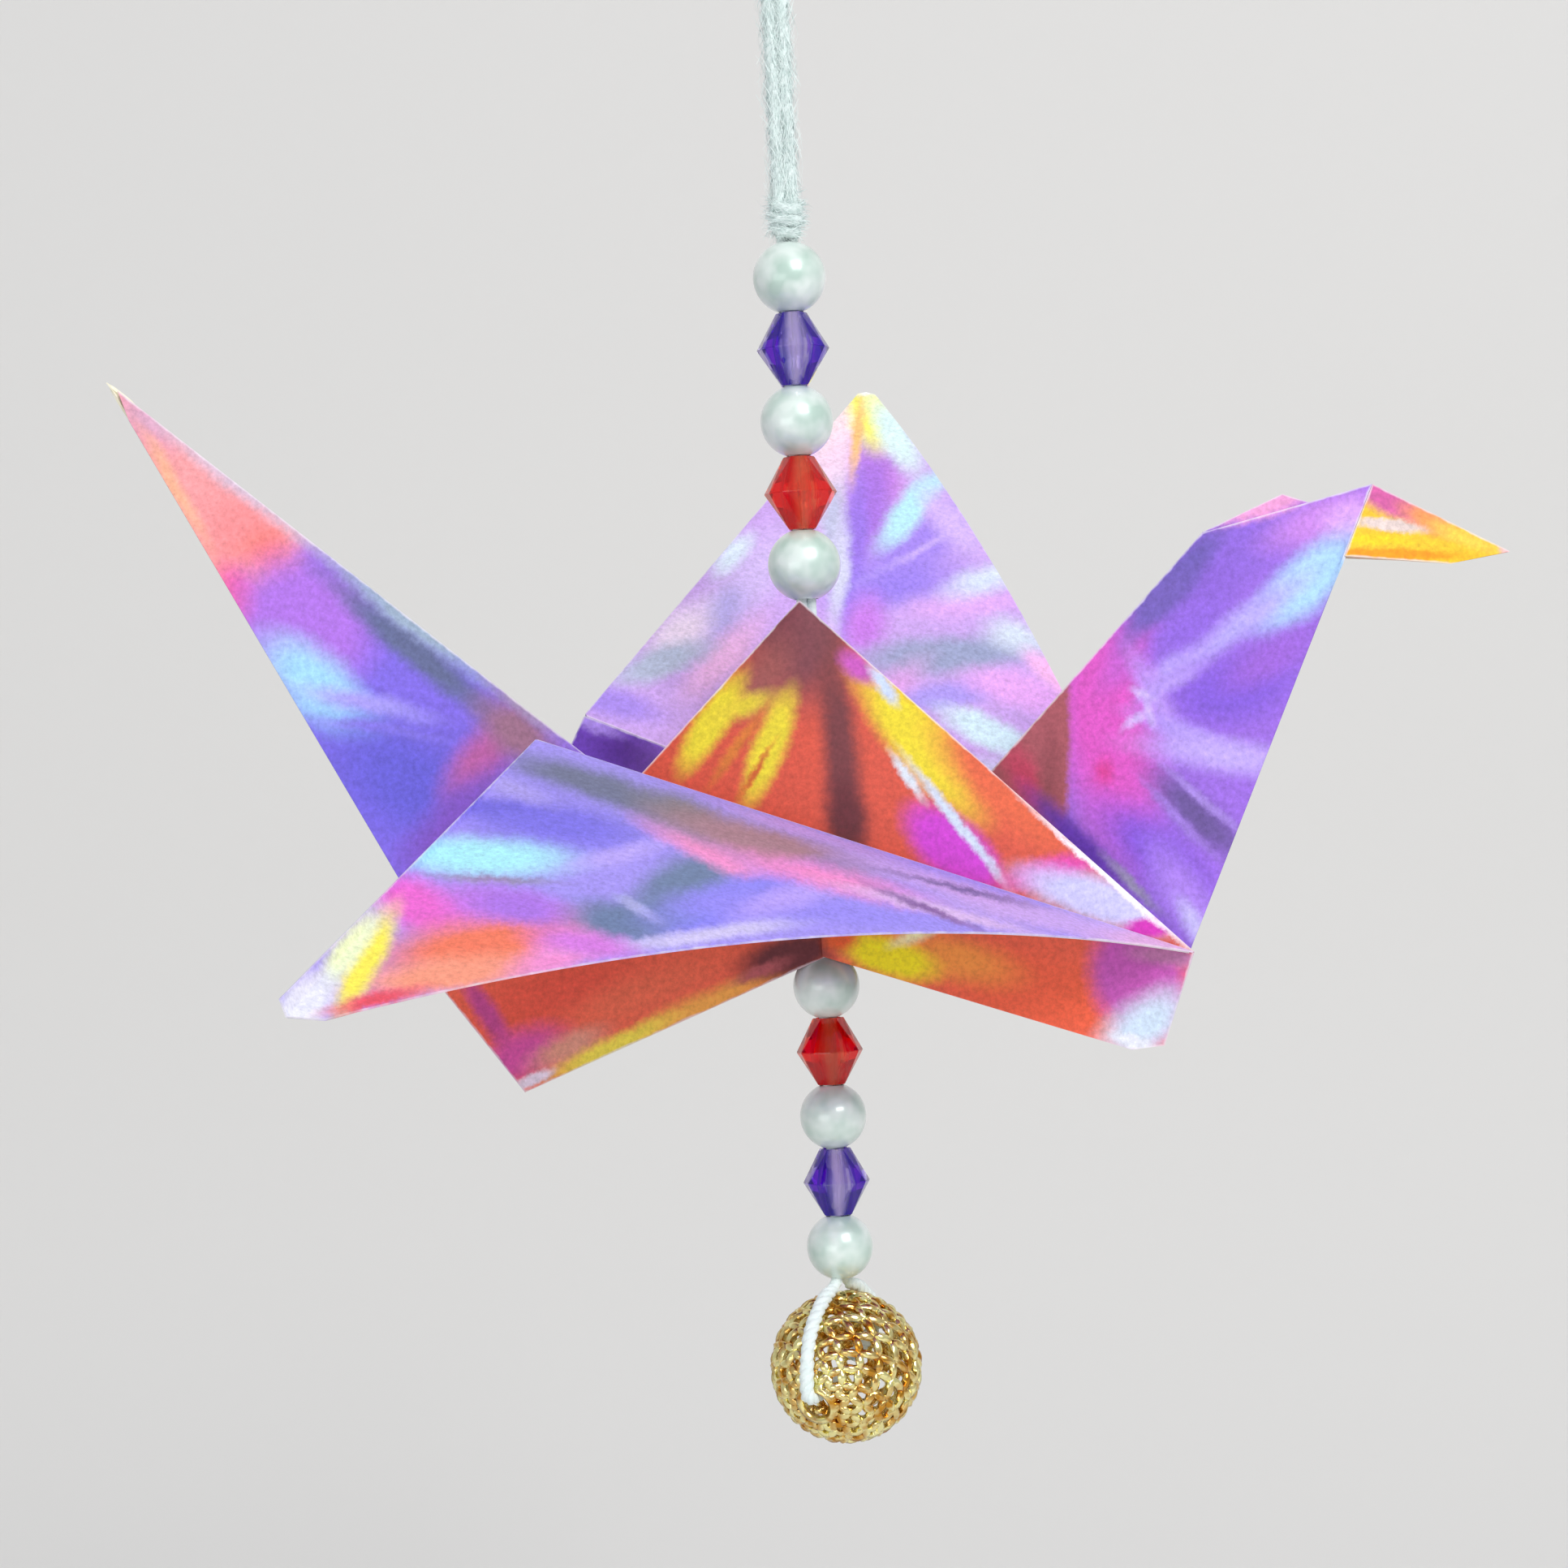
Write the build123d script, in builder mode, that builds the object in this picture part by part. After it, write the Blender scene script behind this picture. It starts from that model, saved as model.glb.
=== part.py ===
"""A paper crane threaded on a doubled yarn with beads and a gold filigree ball.

Units are millimetres. The origin is where the yarn's top bight rests on a hook, +Z is up,
+X points to the crane's beak and -Y to the side that the front wing leans towards.
"""

import os
from math import cos, pi, radians, sin, sqrt, tan

from build123d import *

# The folded sheet
sheet_side = 150.0
paper = 0.3  # two plies of folded paper pressed flat
body_depth = 16.0  # from the front corners to the back ones, puffed open
hump_drop = 68.0  # from the hook down to the hump's apex
apex_shift = -0.6  # the needle went in a little beside the apex
needle_hole = 2.2
apex_open = 2.6  # the needle hole keeps the hump's front and back this far apart
spine_gap = 4.4  # between the tail's spine and the neck's, round the yarn
lower_gap = 3.4  # between the front and back raw edges below the hump
raw_corner_side = 0.1  # the raw corners below the hump lie this far to each side of the yarn
raw_tail_rise = 1.6  # and this far above the hump's lower edge
raw_neck_rise = 1.3

# The tail and the neck, seen from the front
tail_rise = 40.9  # degrees above level
tail_length = 73.6
tail_root = 26.5  # below the apex
tail_corner = (-25.0, -39.9)
tail_squeeze = 0.75  # the crease where the tail turns up is this much of the body's depth
neck_rise = 46.2
neck_length = 45.2
neck_root = 28.8
neck_corner = (29.2, -38.8)
neck_corner_cut = 3.0  # the neck's lowest corner is folded flat over this length
neck_corner_dip = 0.5
neck_splay = 0.22  # how fast the two neck walls part, side to length
crown_rise = 12.4
crown_length = 15.2
crown_peak = 2.2  # the back wall stands this much above the crown
jaw_drop = 6.6
jaw_setback = 2.7
beak_length = 12.9
beak_fall = 29.0
beak_belly = 1.0
beak_share = 0.7  # the beak's underside bends this far along from the jaw

# The wings: shoulder height up the tail-side edge, and the tip's place from the apex
wing_lean = 2.0  # how far the standing root leans out
front_shoulder = (-22.3, -10.7)
front_tip = (-38.0, -54.0, -28.5)
front_tip_outer = (-35.1, -53.0, -30.2)
front_bow = 3.6  # how far the far edge rolls up above the flat wing
back_shoulder = (-19.3, -8.5)
back_tip = (7.3, 51.5, 23.0)
back_tip_outer = (9.0, 51.5, 22.8)
back_bow = 3.2
wing_strips = 8

# The beads
upper_bead = 6.2
lower_bead = 5.65
bead_bore = 2.1
bead_flat = 2.5  # across the bicone's blunt ends
bead_facets = 8
bead_gap = 0.1
upper_seat = 3.1  # first pearl's centre above the apex
lower_seat = 32.7  # first pearl's centre below the apex

# The gold ball
ball_size = 13.0
ball_wall = 0.55
ball_bore = 2.8
ball_turn = -119.0  # degrees, heading of the bore's mouth about Z
ball_tilt = 22.3  # degrees, how far the mouth points below level
ball_columns = 16
ball_rows = 5
ball_band = 112.0  # degrees of latitude between the first row of gaps and the last
gap_width = 0.6  # of the distance from one gap to the next in its row
gap_length = 2.1
ball_drop = 1.1  # between the last pearl and the ball, for the yarn to pass

# The yarn
yarn = 0.9
yarn_pair = 1.06  # centre to centre of the two strands
hook = 4.0  # the hook that the bight goes round
loop_drop = 14.0  # where the strands part into the loop
yarn_rub = 0.05  # clearance where the yarn lies on the ball
yarn_bend = 0.9  # at a bore's rim
yarn_touch = 12.0  # degrees from the ball's top to where each strand first lies on it
front_corners = 3  # corners of the route round the ball on the mouth's side
back_corners = 2
bend_share = 0.45  # of the shorter run beside a bend, that the bend may use up
yarn_tail = 1.5  # the hidden ends stop this far from the ball's centre
knot_width = 3.1
knot_height = 3.9
knot_round = 1.2
knot_rise = 32.7  # above the hump's apex

half_base = sheet_side * (sqrt(2) - 1) / 2
half_depth = body_depth / 2
apex = Vector(apex_shift, 0, -hump_drop)


def from_apex(x, y, z):
    """A point given from the hump's apex."""
    return apex + Vector(x, y, z)


def heading(angle):
    """The direction that rises by an angle towards the beak."""
    return Vector(cos(radians(angle)), 0, sin(radians(angle)))


def add_wall(*corners):
    """Add one flat stretch of folded paper to the part being built."""
    normal = (corners[1] - corners[0]).cross(corners[2] - corners[0])
    flat = Plane(origin=corners[0], x_dir=corners[1] - corners[0], z_dir=normal)
    with BuildSketch(flat) as outline:
        with BuildLine():
            local = [flat.to_local_coords(corner) for corner in corners]
            Polyline(*[(point.X, point.Y) for point in local], close=True)
        make_face()
    extrude(outline.sketch, amount=paper / 2, both=True)


def add_wing(side, shoulder, tip, tip_outer, bow):
    """Add a standing root, and the wing that folds away from it and rolls along its far edge."""
    tail_side = from_apex(-half_base, side * half_depth, -half_base)
    neck_side = from_apex(half_base, side * half_depth, -half_base)
    top = from_apex(shoulder[0], side * (half_depth + wing_lean), shoulder[1])
    inner, outer = from_apex(*tip), from_apex(*tip_outer)
    across = (neck_side - outer).cross(top - outer).normalized()
    lift = across if across.Z > 0 else -across
    middle = (outer + neck_side) / 2 + lift * bow
    add_wall(tail_side, top, neck_side)
    add_wall(top, inner, outer)
    far_edge = Edge.make_three_point_arc(outer, middle, neck_side)
    for strip in range(wing_strips):
        add_wall(top, far_edge @ (strip / wing_strips), far_edge @ ((strip + 1) / wing_strips))


def neck_wall_point(side, x, z):
    """A point of a neck wall, which stands off the spine as it gets further from it."""
    root = Vector(spine_gap / 2, 0, -neck_root)
    off_spine = heading(neck_rise).cross(Vector(x, 0, z) - root)
    return from_apex(x, side * neck_splay * abs(off_spine.Y), z)


tail_foot = from_apex(-spine_gap / 2, 0, -tail_root)
neck_foot = from_apex(spine_gap / 2, 0, -neck_root)
tail_tip = tail_foot + heading(180 - tail_rise) * tail_length
nape = neck_foot + heading(neck_rise) * neck_length
crown = nape + heading(crown_rise) * crown_length
beak_tip = crown + heading(-beak_fall) * beak_length
peak = (nape + crown) / 2 + Vector(0, neck_splay * crown_length / 2, crown_peak)
jaw_x = (crown - apex).X - jaw_setback
jaw_z = (crown - apex).Z - jaw_drop

with BuildPart() as crane:
    for side in (-1, 1):
        tail_shoulder = from_apex(-half_base, side * half_depth, -half_base)
        neck_shoulder = from_apex(half_base, side * half_depth, -half_base)
        tail_turn = from_apex(tail_corner[0], side * tail_squeeze * half_depth, tail_corner[1])
        neck_turn = neck_wall_point(side, *neck_corner)
        cut = neck_wall_point(side, neck_corner[0] - neck_corner_cut, neck_corner[1] - neck_corner_dip)
        jaw = neck_wall_point(side, jaw_x, jaw_z)
        belly = jaw + (beak_tip - jaw) * beak_share - Vector(0, 0, beak_belly)
        raw_y = side * lower_gap / 2
        raw_tail = from_apex(-apex_shift - raw_corner_side, raw_y, -half_base + raw_tail_rise)
        raw_neck = from_apex(-apex_shift + raw_corner_side, raw_y, -half_base + raw_neck_rise)

        # The hump, and the pockets that run in from its edges to the two spines
        hump_top = from_apex(0, side * apex_open / 2, 0)
        add_wall(hump_top, tail_shoulder, neck_shoulder)
        add_wall(hump_top, tail_shoulder, tail_foot)
        add_wall(hump_top, neck_shoulder, neck_foot)

        # Below the hump, down to the creases where the tail and the neck turn up
        add_wall(tail_shoulder, tail_turn, tail_foot)
        add_wall(neck_shoulder, neck_turn, neck_foot)
        add_wall(neck_turn, cut, neck_foot)
        add_wall(tail_shoulder, tail_turn, raw_tail)
        add_wall(neck_shoulder, neck_turn, raw_neck)
        add_wall(neck_turn, cut, raw_neck)

        # The tail, the neck and the head
        add_wall(tail_foot, tail_turn, tail_tip)
        add_wall(neck_foot, nape, jaw, neck_turn, cut)
        add_wall(nape, crown, jaw)
        add_wall(crown, jaw, belly, beak_tip)
    ridge = [from_apex(0, side * apex_open / 2, 0) for side in (-1, 1)]
    add_wall(*ridge, tail_foot)
    add_wall(*ridge, neck_foot)
    add_wall(nape, peak, crown)
    add_wing(-1, front_shoulder, front_tip, front_tip_outer, front_bow)
    add_wing(1, back_shoulder, back_tip, back_tip_outer, back_bow)
    with Locations((0, 0, -hump_drop)):
        Cylinder(needle_hole / 2, 2 * neck_root, mode=Mode.SUBTRACT)
crane.part.label = "paper_crane"


def rim_reach(size):
    """Half a round bead's length, measured at the rim of its bore."""
    return sqrt(size**2 - bead_bore**2) / 2


def make_pearl(size, height):
    """A round imitation pearl with a drilled bore."""
    with BuildPart(Plane.XY.offset(height)) as pearl:
        Sphere(size / 2)
        Cylinder(bead_bore / 2, size, mode=Mode.SUBTRACT)
    return pearl.part


def make_bicone(size, height):
    """A faceted double cone with blunt ends and a drilled bore."""
    with BuildPart() as bicone:
        with BuildSketch(Plane.XY.offset(height)):
            RegularPolygon(size / 2, bead_facets)
        with BuildSketch(Plane.XY.offset(height + size / 2)):
            RegularPolygon(bead_flat / 2, bead_facets)
        loft()
        mirror(about=Plane.XY.offset(height))
        with Locations((0, 0, height)):
            Cylinder(bead_bore / 2, size, mode=Mode.SUBTRACT)
    return bicone.part


def thread_beads(names, size, first, direction):
    """Make a row of touching beads, from the crane outwards."""
    pitch = rim_reach(size) + size / 2 + bead_gap
    row = {}
    for place, name in enumerate(names):
        make = make_bicone if "bicone" in name else make_pearl
        row[name] = make(size, first + direction * place * pitch)
    return row, first + direction * (len(names) - 1) * pitch


upper_names = ["upper_pearl_1", "upper_bicone_red", "upper_pearl_2"]
upper_names += ["upper_bicone_purple", "upper_pearl_3"]
lower_names = ["lower_pearl_1", "lower_bicone_red", "lower_pearl_2"]
lower_names += ["lower_bicone_purple", "lower_pearl_3"]
upper_row, upper_end = thread_beads(upper_names, upper_bead, upper_seat - hump_drop, 1)
lower_row, lower_end = thread_beads(lower_names, lower_bead, -lower_seat - hump_drop, -1)

# The ball hangs under the last pearl, its bore lying across the string
ball_radius = ball_size / 2
ball_height = lower_end - rim_reach(lower_bead) - ball_drop - ball_radius
ball_centre = Vector(0, 0, ball_height)
forward = Vector(cos(radians(ball_turn)), sin(radians(ball_turn)), 0)
mouth = forward * cos(radians(ball_tilt)) - Vector(0, 0, sin(radians(ball_tilt)))

with BuildPart(Plane(origin=ball_centre, z_dir=mouth)) as ball:
    Sphere(ball_radius)
    Sphere(ball_radius - ball_wall, mode=Mode.SUBTRACT)
    Cylinder(ball_bore / 2, 2 * ball_size, mode=Mode.SUBTRACT)
    # Rows of gaps between the wires, each row set half a step round from the last
    for row in range(ball_rows):
        latitude = radians(ball_band * (row / (ball_rows - 1) - 0.5))
        step = 360 / ball_columns
        width = gap_width * radians(step) * ball_radius * cos(latitude)
        gaps = []
        for column in range(ball_columns):
            around = radians(step * (column + 0.5 * (row % 2)))
            level = Vector(cos(around), sin(around), 0)
            out = level * cos(latitude) + Vector(0, 0, sin(latitude))
            gaps.append(Plane(origin=out * ball_radius, x_dir=level.cross(Vector(0, 0, 1)), z_dir=out))
        with Locations(*gaps):
            Box(width, gap_length, 4 * ball_wall, mode=Mode.SUBTRACT)

# The doubled yarn: from inside the ball, out of its mouth, up through the beads and the crane,
# round the hook, and down again to the ball's other mouth
lay_radius = ball_radius + yarn / 2 + yarn_rub
bight_radius = (hook + yarn) / 2


def over_ball(angle, radius):
    """A point beside the ball, by its angle from the top towards the mouth's side."""
    turn = radians(angle)
    return ball_centre + (Vector(0, 0, cos(turn)) + forward * sin(turn)) * radius


def round_ball(first, last, steps):
    """Corners of a path that touches the ball at evenly turned places, first and last included."""
    half = (last - first) / steps / 2
    reach = lay_radius / cos(radians(half))
    return [over_ball(first + half * (2 * step + 1), reach) for step in range(steps)]


drop_side = yarn_pair / 2
drop_height = (lay_radius - drop_side * sin(radians(yarn_touch))) / cos(radians(yarn_touch))
front_drop = ball_centre + forward * drop_side + Vector(0, 0, drop_height)
back_drop = ball_centre - forward * drop_side + Vector(0, 0, drop_height)
front_way = round_ball(yarn_touch, 90 + ball_tilt, front_corners)
back_way = round_ball(-yarn_touch, ball_tilt - 90, back_corners)
bight_side = bight_radius / cos(radians(30))
bight = [Vector(bight_side * cos(radians(a)), 0, bight_side * sin(radians(a)) - hook / 2) for a in (150, 90, 30)]
route = [
    ball_centre + mouth * yarn_tail,
    ball_centre + mouth * lay_radius,
    *reversed(front_way),
    front_drop,
    Vector(-yarn_pair / 2, 0, -loop_drop),
    *bight,
    Vector(yarn_pair / 2, 0, -loop_drop),
    back_drop,
    *back_way,
    ball_centre - mouth * lay_radius,
    ball_centre - mouth * yarn_tail,
]
tight = [ball_centre + mouth * lay_radius, ball_centre - mouth * lay_radius, front_drop, back_drop]
radii = []
for before, corner, after in zip(route, route[1:], route[2:]):
    turn = radians((corner - before).get_angle(after - corner))
    shorter = min((corner - before).length, (after - corner).length)
    largest = bend_share * shorter / tan(turn / 2)
    radii.append(min(largest, yarn_bend) if corner in tight else largest)
print("yarn radii", [round(radius, 2) for radius in radii])

with BuildPart() as cord:
    with BuildLine() as way:
        FilletPolyline(*route, radius=radii)
    with BuildSketch(Plane(origin=way.line @ 0, z_dir=way.line % 0)):
        Circle(yarn / 2)
    sweep()
length = sum(edge.length for edge in way.edges())
print("yarn length", length, "volume over section", cord.part.volume / (pi * yarn**2 / 4))

with BuildPart() as knot:
    with Locations((0, 0, knot_rise - hump_drop)):
        Cylinder(knot_width / 2, knot_height)
    fillet(knot.edges().filter_by(GeomType.CIRCLE), knot_round)
    add(cord.part, mode=Mode.SUBTRACT)

pieces = {"paper_crane": crane.part, "gold_ball": ball.part, "yarn": cord.part, "yarn_knot": knot.part}
pieces.update(upper_row)
pieces.update(lower_row)
os.makedirs("parts", exist_ok=True)
for name, piece in pieces.items():
    piece.label = name
    export_step(piece, f"parts/{name}.step")
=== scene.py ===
"""A folded paper crane on a doubled yarn, with beads and a gold filigree ball: its looks.

Lengths are millimetres in the part's frame until they reach Blender, which has metres.
"""

import math
import random

import bmesh
import bpy
from mathutils import Matrix, Vector


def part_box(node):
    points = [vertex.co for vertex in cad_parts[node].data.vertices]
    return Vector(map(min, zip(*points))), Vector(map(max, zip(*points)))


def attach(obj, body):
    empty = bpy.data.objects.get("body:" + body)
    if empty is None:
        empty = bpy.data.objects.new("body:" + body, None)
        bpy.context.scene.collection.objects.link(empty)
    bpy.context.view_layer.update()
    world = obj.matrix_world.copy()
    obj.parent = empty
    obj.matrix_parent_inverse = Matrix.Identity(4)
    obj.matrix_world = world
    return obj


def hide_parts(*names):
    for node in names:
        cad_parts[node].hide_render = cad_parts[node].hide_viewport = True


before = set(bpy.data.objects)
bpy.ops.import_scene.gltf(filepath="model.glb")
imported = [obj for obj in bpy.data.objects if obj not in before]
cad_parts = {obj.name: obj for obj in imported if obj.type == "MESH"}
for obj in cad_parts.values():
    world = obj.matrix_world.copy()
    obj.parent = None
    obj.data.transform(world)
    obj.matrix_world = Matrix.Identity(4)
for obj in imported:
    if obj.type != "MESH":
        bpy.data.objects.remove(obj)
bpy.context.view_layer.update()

MM = 0.001
rng = random.Random(11)

# Small helpers


def linear(rgb):
    """A colour given as it looks on a screen, 0 to 255, as Blender wants it."""
    out = []
    for value in rgb:
        value = value / 255
        out.append(value / 12.92 if value <= 0.04045 else ((value + 0.055) / 1.055) ** 2.4)
    return (*out, 1.0)


def link_object(name, data):
    """Put new data into the scene as an object."""
    made = bpy.data.objects.new(name, data)
    bpy.context.scene.collection.objects.link(made)
    return made


def mesh_object(name, points, faces, materials, smooth=60):
    """A mesh from points in millimetres. Edges that turn by more than smooth degrees stay sharp."""
    data = bpy.data.meshes.new(name)
    data.from_pydata([Vector(point) * MM for point in points], [], faces)
    for material in materials:
        data.materials.append(material)
    if smooth:
        data.shade_smooth()
        data.set_sharp_from_angle(angle=math.radians(smooth))
    return link_object(name, data)


def apply_modifiers(made):
    """Make what an object's modifiers show its own mesh."""
    graph = bpy.context.evaluated_depsgraph_get()
    made.data = bpy.data.meshes.new_from_object(made.evaluated_get(graph))
    made.modifiers.clear()


def own(piece, slot, *nodes):
    """Every piece rides the one body and may stand for CAD nodes, which it hides. slot is not used."""
    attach(piece, "root")
    if nodes:
        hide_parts(*nodes)
    return piece


class Nodes:
    """A material's node tree, written from the shader back."""

    def __init__(self, name):
        self.material = bpy.data.materials.new(name)
        self.material.use_nodes = True
        self.tree = self.material.node_tree
        self.shader = self.tree.nodes["Principled BSDF"]

    def put(self, socket, value):
        """Set a socket, or link it."""
        if isinstance(value, bpy.types.NodeSocket):
            self.tree.links.new(value, socket)
        else:
            socket.default_value = value

    def set(self, **values):
        """Set or link the shader's own sockets, with _ for a space in their names."""
        for key, value in values.items():
            self.put(self.shader.inputs[key.replace("_", " ")], value)

    def add(self, kind, inputs=(), **settings):
        """Add a node, set it up, and set or link its inputs."""
        node = self.tree.nodes.new(kind)
        for key, value in settings.items():
            setattr(node, key, value)
        for key, value in dict(inputs).items():
            self.put(node.inputs[key], value)
        return node

    def math(self, operation, first, second=0.0, clamp=False):
        """One sum."""
        inputs = {0: first, 1: second}
        return self.add("ShaderNodeMath", inputs, operation=operation, use_clamp=clamp).outputs[0]

    def blend(self, factor, first, second, kind="MIX"):
        """Two colours mixed."""
        inputs = {"Factor": factor, 6: first, 7: second}
        return self.add("ShaderNodeMix", inputs, data_type="RGBA", blend_type=kind).outputs[2]

    def place(self):
        """Object coordinates, in metres."""
        return self.add("ShaderNodeTexCoord").outputs["Object"]

    def noise(self, scale, detail, roughness, place=None, output="Fac"):
        """Noise over object coordinates, or over another place."""
        if place is None:
            place = self.place()
        inputs = {"Vector": place, "Scale": scale, "Detail": detail, "Roughness": roughness}
        return self.add("ShaderNodeTexNoise", inputs).outputs[output]

    def spread(self, value, start, end):
        """A value mapped so that start becomes 0 and end becomes 1."""
        return self.add("ShaderNodeMapRange", {"Value": value, 1: start, 2: end}).outputs[0]

    def near_one(self, noise, strength):
        """Noise as a factor that is 1 on average."""
        return self.math("ADD", self.math("MULTIPLY", noise, strength), 1 - strength / 2)

    def pushed(self, place, noise, reach):
        """A place pushed about by coloured noise, each way by up to half the reach."""
        half = (0.5, 0.5, 0.5)
        push = self.add("ShaderNodeVectorMath", {0: noise, 1: half}, operation="SUBTRACT").outputs[0]
        push = self.add("ShaderNodeVectorMath", {0: push, 3: reach}, operation="SCALE").outputs[0]
        return self.add("ShaderNodeVectorMath", {0: place, 1: push}, operation="ADD").outputs[0]

    def bump(self, height, distance):
        """Tie a bump to the shader. Distance is in millimetres."""
        node = self.add("ShaderNodeBump", {"Height": height, "Distance": distance * MM})
        self.set(Normal=node.outputs[0])


# The picture that the camera makes

PICTURE = 1932  # pixels each way
UNIT = 100  # pixels to one unit of the places on the print
CAMERA_AT = Vector((-2.7, -300.0, -83.4))
HALF_VIEW = 66.65  # seen each side of the middle, at the yarn's depth
ROLL = math.radians(3.0)
RIGHT = Vector((math.cos(ROLL), 0, -math.sin(ROLL)))
UP = Vector((math.sin(ROLL), 0, math.cos(ROLL)))

camera_data = bpy.data.cameras.new("camera")
camera_data.angle = 2 * math.atan(HALF_VIEW / -CAMERA_AT.y)
camera_data.clip_start = 0.01
camera = link_object("camera", camera_data)
turn = Matrix((RIGHT, UP, RIGHT.cross(UP))).transposed()
camera.matrix_world = Matrix.Translation(CAMERA_AT * MM) @ turn.to_4x4()
bpy.context.scene.camera = camera
bpy.context.scene.view_settings.view_transform = "Standard"


def front_place(point):
    """Where a point shows in the picture, in units from its top left corner."""
    away = point - CAMERA_AT
    middle = PICTURE / UNIT / 2
    reach = middle / HALF_VIEW * -CAMERA_AT.y / away.y
    return middle + away.dot(RIGHT) * reach, middle - away.dot(UP) * reach


# The tie-dyed paper

SOFTER = 1.05  # the dye bleeds this much further than a stroke says
WANDER = 0.13  # how far it creeps along the fibres, in units of the print
SPECKLE = 0.85  # how strongly the paper's tooth breaks up the print
MOTTLE = 0.3  # how strongly wider clouds do
WEAR_AND_HIGHLIGHT = 0.62  # how much of the white core shows on a rubbed fold, with the painted highlight along it


def stroke_share(n, place, u, v, length, width, angle, soft):
    """How strongly a stroke shows: 1 inside it and 0 outside, with a soft rim between."""
    inputs = {
        "Vector": place,
        "Location": (u / UNIT, v / UNIT, 0),
        "Rotation": (0, 0, math.radians(angle)),
        "Scale": (length / 2 / UNIT, width / 2 / UNIT, 1),
    }
    spot = n.add("ShaderNodeMapping", inputs, vector_type="TEXTURE").outputs[0]
    reach = n.add("ShaderNodeVectorMath", {0: spot}, operation="LENGTH").outputs["Value"]
    rim = soft * SOFTER
    inputs = {"Value": reach, "From Min": 1 + rim, "From Max": max(0.0, 1 - rim)}
    return n.add("ShaderNodeMapRange", inputs, interpolation_type="SMOOTHSTEP").outputs[0]


def wear_and_highlight(n):
    """How pale the folds are: most on a fold and ragged along it, as the white core where a fold is
    rubbed and as painted highlight where light catches it.
    """
    rim = n.add("ShaderNodeAttribute", attribute_name="rim").outputs["Vector"]
    apart = n.add("ShaderNodeSeparateXYZ", {0: rim}).outputs
    nearest = n.math("MINIMUM", n.math("MINIMUM", apart[0], apart[1]), apart[2])
    ragged = n.math("MULTIPLY", n.noise(700, 2, 0.6), -0.5)
    edge = n.math("ADD", n.math("MULTIPLY", nearest, 1.5), ragged)
    return n.math("MULTIPLY", n.spread(edge, 0.02, -0.22), WEAR_AND_HIGHLIGHT)


def dye(name, base, strokes, warp=0.24):
    """Paper printed with soft tie-dye strokes, a few of them painted shade or painted highlight, and
    pale along its folds, partly as painted highlight.

    A stroke is its middle in picture pixels, its length and width, its angle in degrees
    (turning from the picture's right towards its bottom), its colour, and how soft its rim is.
    warp is how far the strokes are pushed out of shape, in units of the print.
    """
    n = Nodes(name)
    front = n.add("ShaderNodeUVMap", uv_map="front").outputs[0]
    place = n.pushed(front, n.noise(0.9, 3, 0.6, front, "Color"), warp)
    place = n.pushed(place, n.noise(10, 4, 0.7, front, "Color"), WANDER)
    colour = linear(base)
    for u, v, length, width, angle, rgb, soft in strokes:
        share = stroke_share(n, place, u, v, length, width, angle, soft)
        colour = n.blend(share, colour, linear(rgb))
    clouds = n.near_one(n.noise(9, 4, 0.7, front), MOTTLE)
    tooth = n.near_one(n.noise(2300, 3, 0.7), SPECKLE)
    shade = n.math("MULTIPLY", clouds, tooth)
    grey = n.add("ShaderNodeCombineColor", {0: shade, 1: shade, 2: shade}).outputs[0]
    printed = n.blend(1.0, colour, grey, "MULTIPLY")
    # pale folds: the white core where a fold is rubbed, and painted highlight
    worn_and_lit = n.blend(wear_and_highlight(n), printed, linear((238, 232, 240)))
    n.set(Base_Color=worn_and_lit, Roughness=0.62, Specular_IOR_Level=0.35)
    n.bump(n.noise(900, 2, 0.6), 0.035)
    return n.material


def plain_paper(name, rgb):
    """The sheet's unprinted core, seen on a raw edge."""
    n = Nodes(name)
    fibre = n.noise(1500, 2, 0.6)
    n.set(Base_Color=n.blend(fibre, linear(rgb), linear((250, 248, 245))), Roughness=0.8)
    n.bump(fibre, 0.03)
    return n.material


core = plain_paper("paper_core", (228, 222, 226))
cream = plain_paper("paper_cream", (240, 232, 186))

# The print, with its few strokes of painted shade and highlight marked where they stand: each part's
# base colour, and the strokes over it in order

tail_dye = dye("dye_tail", (122, 100, 220), [
    (190, 545, 450, 300, 48, (238, 152, 156), 0.1),
    (181, 520, 80, 44, 42, (212, 150, 180), 0.8),
    (310, 668, 120, 100, 48, (240, 136, 140), 0.7),
    (334, 686, 60, 44, 48, (238, 118, 112), 0.8),
    (215, 600, 130, 16, 60, (240, 172, 140), 0.9),
    (304, 606, 260, 24, 37, (206, 180, 200), 0.8),
    (298, 736, 76, 46, 60, (228, 92, 160), 0.6),
    (378, 766, 170, 150, 45, (168, 108, 220), 0.4),
    (392, 846, 150, 70, 40, (156, 208, 246), 0.6),
    (452, 868, 130, 24, 12, (168, 156, 240), 0.8),
    (470, 900, 120, 14, 8, (150, 130, 234), 0.8),
    (510, 801, 245, 34, 40, (92, 100, 142), 0.6),
    (505, 764, 230, 24, 38, (150, 168, 192), 0.7),
    (500, 962, 200, 120, 24, (96, 88, 206), 0.7),
    (592, 934, 110, 50, 130, (178, 88, 158), 0.7),
    (641, 905, 120, 56, 38, (150, 104, 132), 0.6),
    (646, 868, 110, 20, 38, (156, 138, 168), 0.8),
    (560, 1012, 170, 60, 135, (122, 78, 190), 0.6),
    (800, 980, 260, 90, 48, (156, 112, 226), 0.8),
    (860, 1110, 240, 60, 30, (192, 96, 184), 0.8),
    (930, 900, 220, 60, 50, (96, 128, 214), 0.8),
])
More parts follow.
